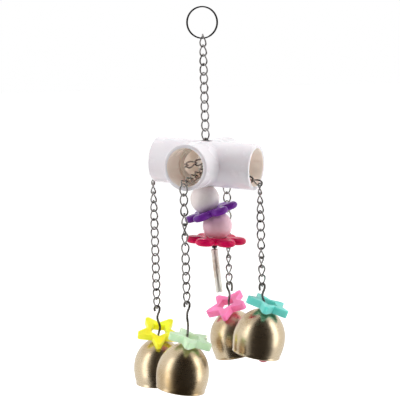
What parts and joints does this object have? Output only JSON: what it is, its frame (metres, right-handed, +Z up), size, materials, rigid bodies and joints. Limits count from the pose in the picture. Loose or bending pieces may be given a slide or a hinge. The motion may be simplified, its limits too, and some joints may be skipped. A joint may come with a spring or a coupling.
{
  "type": "hanging bell toy",
  "caption": "Hanging cage-bird toy: white pipe cross on a curb chain, side chains with pastel stars and brass bells, and a centre string of beads, flowers and a rolled metal tube.",
  "frame": {"origin": "where the inside of the split ring's top bears on the hook or bar that it hangs from", "axes": "+Z up, +X along the fitting's right arm, -Y along its front arm, which is the side that the picture shows"},
  "size_m": [0.1136, 0.1163, 0.2626],
  "materials": {
    "dark_nickel": "dark bright-drawn split-ring wire",
    "nickel": "bright nickel plate",
    "steel_wire": "plain drawn wire",
    "white_plastic": "glossy white moulding",
    "ivory_bead": "smooth pearly off-white",
    "pink_bead": "smooth pale pink",
    "purple_flower": "glossy translucent-looking purple",
    "crimson_flower": "glossy crimson pink",
    "black_sleeve": "soft black tubing",
    "rolled_metal": "rolled bright sheet with a seam",
    "brass": "polished pale brass",
    "red_bead": "pink-red bead",
    "left_star": "lemon yellow",
    "front_star": "pale green",
    "back_star": "bubble-gum pink",
    "right_star": "aqua"
  },
  "bodies": {
    "hanger": {"split_ring": "dark_nickel"},
    "top_chain_upper": {"top_chain_1": "nickel", "top_chain_2": "nickel"},
    "top_chain_lower": {"top_chain_3": "nickel", "top_chain_4": "nickel"},
    "cross": {"pipe_cross": "white_plastic", "joining_ring": "steel_wire", "centre_wire": "steel_wire", "stop_sleeve": "black_sleeve", "back_inner_chain_1": "nickel", "back_inner_chain_2": "nickel", "front_inner_chain_1": "nickel", "front_inner_chain_2": "nickel", "left_inner_chain_1": "nickel", "left_inner_chain_2": "nickel", "right_inner_chain_1": "nickel", "right_inner_chain_2": "nickel"},
    "bead_upper": {"bead_upper": "ivory_bead"},
    "flower_purple": {"flower_purple": "purple_flower"},
    "bead_lower": {"bead_lower": "pink_bead"},
    "flower_red": {"flower_red": "crimson_flower"},
    "clapper_tube": {"clapper_tube": "rolled_metal"},
    "left_chain_upper": {"left_chain_1": "nickel", "left_chain_2": "nickel"},
    "left_chain_lower": {"left_chain_3": "nickel", "left_chain_4": "nickel", "left_chain_5": "nickel"},
    "left_hook": {"left_hook_wire": "steel_wire"},
    "left_star": {"left_star": "left_star"},
    "left_bell": {"left_bell": "brass"},
    "left_clapper": {"left_clapper_wire": "steel_wire", "left_clapper_bead": "red_bead"},
    "front_chain_upper": {"front_chain_1": "nickel", "front_chain_2": "nickel"},
    "front_chain_lower": {"front_chain_3": "nickel", "front_chain_4": "nickel"},
    "front_hook": {"front_hook_wire": "steel_wire"},
    "front_star": {"front_star": "front_star"},
    "front_bell": {"front_bell": "brass"},
    "front_clapper": {"front_clapper_wire": "steel_wire", "front_clapper_bead": "red_bead"},
    "back_chain_upper": {"back_chain_1": "nickel", "back_chain_2": "nickel"},
    "back_chain_lower": {"back_chain_3": "nickel", "back_chain_4": "nickel"},
    "back_hook": {"back_hook_wire": "steel_wire"},
    "back_star": {"back_star": "back_star"},
    "back_bell": {"back_bell": "brass"},
    "back_clapper": {"back_clapper_wire": "steel_wire", "back_clapper_bead": "red_bead"},
    "right_chain_upper": {"right_chain_1": "nickel", "right_chain_2": "nickel"},
    "right_chain_lower": {"right_chain_3": "nickel", "right_chain_4": "nickel"},
    "right_hook": {"right_hook_wire": "steel_wire"},
    "right_star": {"right_star": "right_star"},
    "right_bell": {"right_bell": "brass"},
    "right_clapper": {"right_clapper_wire": "steel_wire", "right_clapper_bead": "red_bead"}
  },
  "joints": [
    {"name": "ring_swing", "type": "hinge", "parent": "hanger", "child": "top_chain_upper", "pos_m": [0, 0, -0.02057], "axis": [0.7986, 0.6018, 0], "range_deg": [-45, 45]},
    {"name": "top_chain_bend", "type": "hinge", "parent": "top_chain_upper", "child": "top_chain_lower", "pos_m": [0, 0, -0.06346], "axis": [0.3584, -0.9336, 0], "range_deg": [-30, 30]},
    {"name": "cross_turn", "type": "hinge", "parent": "top_chain_lower", "child": "cross", "pos_m": [0, 0, -0.10507], "axis": [0, 0, 1], "range_deg": [-40, 40]},
    {"name": "bead_upper_spin", "type": "hinge", "parent": "cross", "child": "bead_upper", "pos_m": [-0.00154, -0.00059, -0.12929], "axis": [-0.1621, -0.0622, 0.9848], "continuous": true},
    {"name": "flower_purple_spin", "type": "hinge", "parent": "cross", "child": "flower_purple", "pos_m": [0.00222, 0.00085, -0.13861], "axis": [-0.273, -0.1048, 0.9563], "continuous": true},
    {"name": "bead_lower_spin", "type": "hinge", "parent": "cross", "child": "bead_lower", "pos_m": [0.00598, 0.00229, -0.14793], "axis": [-0.146, -0.0561, 0.9877], "continuous": true},
    {"name": "flower_red_spin", "type": "hinge", "parent": "cross", "child": "flower_red", "pos_m": [0.00485, 0.00186, -0.15791], "axis": [0.0602, 0.0231, 0.9979], "continuous": true},
    {"name": "tube_swing", "type": "hinge", "parent": "cross", "child": "clapper_tube", "pos_m": [0.00383, 0.00147, -0.16636], "axis": [0.3584, -0.9336, 0], "range_deg": [-20, 10]},
    {"name": "left_lip_swing", "type": "hinge", "parent": "cross", "child": "left_chain_upper", "pos_m": [-0.03977, -0.00063, -0.11294], "axis": [0, 1, 0], "range_deg": [-3, 50]},
    {"name": "left_chain_bend", "type": "hinge", "parent": "left_chain_upper", "child": "left_chain_lower", "pos_m": [-0.03977, -0.00063, -0.15066], "axis": [0, 1, 0], "range_deg": [-2, 30]},
    {"name": "left_hook_swing", "type": "hinge", "parent": "left_chain_lower", "child": "left_hook", "pos_m": [-0.03977, -0.00063, -0.20697], "axis": [0.3584, -0.9336, 0], "range_deg": [-15, 20]},
    {"name": "left_bell_spin", "type": "hinge", "parent": "left_hook", "child": "left_bell", "pos_m": [-0.03958, -0.00056, -0.22797], "axis": [0, 0, 1], "continuous": true},
    {"name": "left_star_spin", "type": "hinge", "parent": "left_hook", "child": "left_star", "pos_m": [-0.03838, -0.00215, -0.22356], "axis": [0.3002, -0.3992, 0.8663], "continuous": true},
    {"name": "left_clapper_swing", "type": "hinge", "parent": "left_hook", "child": "left_clapper", "pos_m": [-0.04135, -0.00124, -0.23457], "axis": [0.9336, 0.3584, 0], "range_deg": [-29, 29]},
    {"name": "front_lip_swing", "type": "hinge", "parent": "cross", "child": "front_chain_upper", "pos_m": [-0.00006, -0.03941, -0.11457], "axis": [-1, 0, 0], "range_deg": [-3, 50]},
    {"name": "front_chain_bend", "type": "hinge", "parent": "front_chain_upper", "child": "front_chain_lower", "pos_m": [-0.00006, -0.03941, -0.15471], "axis": [-1, 0, 0], "range_deg": [-2, 30]},
    {"name": "front_hook_swing", "type": "hinge", "parent": "front_chain_lower", "child": "front_hook", "pos_m": [-0.00006, -0.03941, -0.19496], "axis": [0.3584, -0.9336, 0], "range_deg": [-15, 20]},
    {"name": "front_bell_spin", "type": "hinge", "parent": "front_hook", "child": "front_bell", "pos_m": [-0.00071, -0.03966, -0.22117], "axis": [0.1557, 0.0598, 0.986], "continuous": true},
    {"name": "front_star_spin", "type": "hinge", "parent": "front_hook", "child": "front_star", "pos_m": [0.00204, -0.03941, -0.21893], "axis": [0.3019, 0.0266, 0.953], "continuous": true},
    {"name": "front_clapper_swing", "type": "hinge", "parent": "front_hook", "child": "front_clapper", "pos_m": [-0.00248, -0.04034, -0.22777], "axis": [0.9336, 0.3584, 0], "range_deg": [-29, 29]},
    {"name": "back_lip_swing", "type": "hinge", "parent": "cross", "child": "back_chain_upper", "pos_m": [-0.00127, 0.03889, -0.11647], "axis": [1, 0, 0], "range_deg": [-3, 50]},
    {"name": "back_chain_bend", "type": "hinge", "parent": "back_chain_upper", "child": "back_chain_lower", "pos_m": [-0.00127, 0.03889, -0.15591], "axis": [1, 0, 0], "range_deg": [-2, 30]},
    {"name": "back_hook_swing", "type": "hinge", "parent": "back_chain_lower", "child": "back_hook", "pos_m": [-0.00127, 0.03889, -0.19546], "axis": [0.3584, -0.9336, 0], "range_deg": [-15, 20]},
    {"name": "back_bell_spin", "type": "hinge", "parent": "back_hook", "child": "back_bell", "pos_m": [-0.00173, 0.03871, -0.21387], "axis": [-0.1621, -0.0622, 0.9848], "continuous": true},
    {"name": "back_star_spin", "type": "hinge", "parent": "back_hook", "child": "back_star", "pos_m": [-0.00254, 0.03689, -0.21034], "axis": [-0.2018, -0.4532, 0.8683], "continuous": true},
    {"name": "back_clapper_swing", "type": "hinge", "parent": "back_hook", "child": "back_clapper", "pos_m": [0.00004, 0.03939, -0.22047], "axis": [0.9336, 0.3584, 0], "range_deg": [-29, 29]},
    {"name": "right_lip_swing", "type": "hinge", "parent": "cross", "child": "right_chain_upper", "pos_m": [0.03845, 0.00013, -0.11791], "axis": [0, -1, 0], "range_deg": [-3, 50]},
    {"name": "right_chain_bend", "type": "hinge", "parent": "right_chain_upper", "child": "right_chain_lower", "pos_m": [0.03845, 0.00013, -0.15599], "axis": [0, -1, 0], "range_deg": [-2, 30]},
    {"name": "right_hook_swing", "type": "hinge", "parent": "right_chain_lower", "child": "right_hook", "pos_m": [0.03845, 0.00013, -0.18796], "axis": [0.3584, -0.9336, 0], "range_deg": [-15, 20]},
    {"name": "right_bell_spin", "type": "hinge", "parent": "right_hook", "child": "right_bell", "pos_m": [0.03994, 0.0007, -0.20367], "axis": [0.2037, 0.0782, 0.9759], "continuous": true},
    {"name": "right_star_spin", "type": "hinge", "parent": "right_hook", "child": "right_star", "pos_m": [0.04186, 0.001, -0.20118], "axis": [0.3776, 0.0583, 0.9241], "continuous": true},
    {"name": "right_clapper_swing", "type": "hinge", "parent": "right_hook", "child": "right_clapper", "pos_m": [0.03817, 0.00002, -0.21027], "axis": [0.9336, 0.3584, 0], "range_deg": [-22, 22]}
  ]
}
